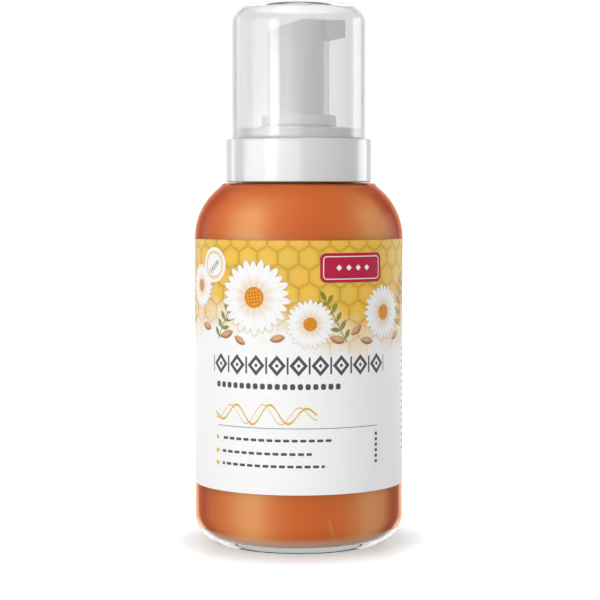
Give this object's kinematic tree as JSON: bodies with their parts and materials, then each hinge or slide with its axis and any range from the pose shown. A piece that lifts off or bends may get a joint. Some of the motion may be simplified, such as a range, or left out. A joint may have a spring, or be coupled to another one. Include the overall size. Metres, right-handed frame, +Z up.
{
  "type": "shampoo bottle",
  "caption": "Round clear bottle of amber shampoo with a blank-worded wrap label, a foaming press pump on a screw collar and a clear push-on overcap.",
  "frame": {"origin": "centre of the base ring, on the surface that the bottle stands on", "axes": "+Z up along the bottle's axis, +X the way the spout points"},
  "size_m": [0.0662, 0.0662, 0.1704],
  "materials": {
    "clear_bottle": "gloss",
    "label_film": "satin",
    "shampoo": "gloss",
    "white_plastic": "satin",
    "natural_plastic": "satin",
    "soft_seal": "matte",
    "soft_piston": "satin",
    "tube_plastic": "satin",
    "spring_steel": "satin",
    "ball_steel": "polished",
    "nylon_mesh": "matte",
    "clear_cap": "gloss"
  },
  "bodies": {
    "container": {"bottle": "clear_bottle", "label": "label_film", "shampoo": "shampoo"},
    "pump_unit": {"gasket": "soft_seal", "pump_housing": "natural_plastic", "guide_ring": "white_plastic", "valve_rod": "natural_plastic", "return_spring": "spring_steel", "dip_tube": "tube_plastic"},
    "closure": {"collar": "white_plastic"},
    "cover": {"overcap": "clear_cap"},
    "plunger": {"piston_rod": "natural_plastic", "liquid_piston": "soft_piston", "air_piston": "soft_piston", "air_check_valve": "soft_seal", "mixing_stem": "natural_plastic", "mesh_holder": "natural_plastic", "mesh_coarse": "nylon_mesh", "mesh_fine": "nylon_mesh"},
    "head": {"actuator_head": "white_plastic"},
    "inlet_valve": {"inlet_ball": "ball_steel"}
  },
  "joints": [
    {"name": "thread_rise", "type": "slide", "parent": "container", "child": "pump_unit", "axis": [0, 0, 1], "range_m": [0, 0.0053]},
    {"name": "collar_turn", "type": "hinge", "parent": "pump_unit", "child": "closure", "pos_m": [0, 0, 0.121], "axis": [0, 0, 1], "range_deg": [0, 450]},
    {"name": "overcap_lift", "type": "slide", "parent": "closure", "child": "cover", "axis": [0, 0, 1], "range_m": [0, 0.045]},
    {"name": "actuator_press", "type": "slide", "parent": "pump_unit", "child": "plunger", "axis": [0, 0, -1], "range_m": [0, 0.012], "stiffness_N_per_m": 900, "springref_m": -0.009, "deforming": ["return_spring"]},
    {"name": "actuator_swivel", "type": "hinge", "parent": "plunger", "child": "head", "pos_m": [0, 0, 0.145], "axis": [0, 0, 1], "continuous": true},
    {"name": "inlet_ball_lift", "type": "slide", "parent": "pump_unit", "child": "inlet_valve", "axis": [0, 0, 1], "range_m": [0, 0.0015]}
  ],
  "couplings": [
    {"joint": "thread_rise", "follows": "collar_turn", "m_per_rad": 0.00067375}
  ]
}
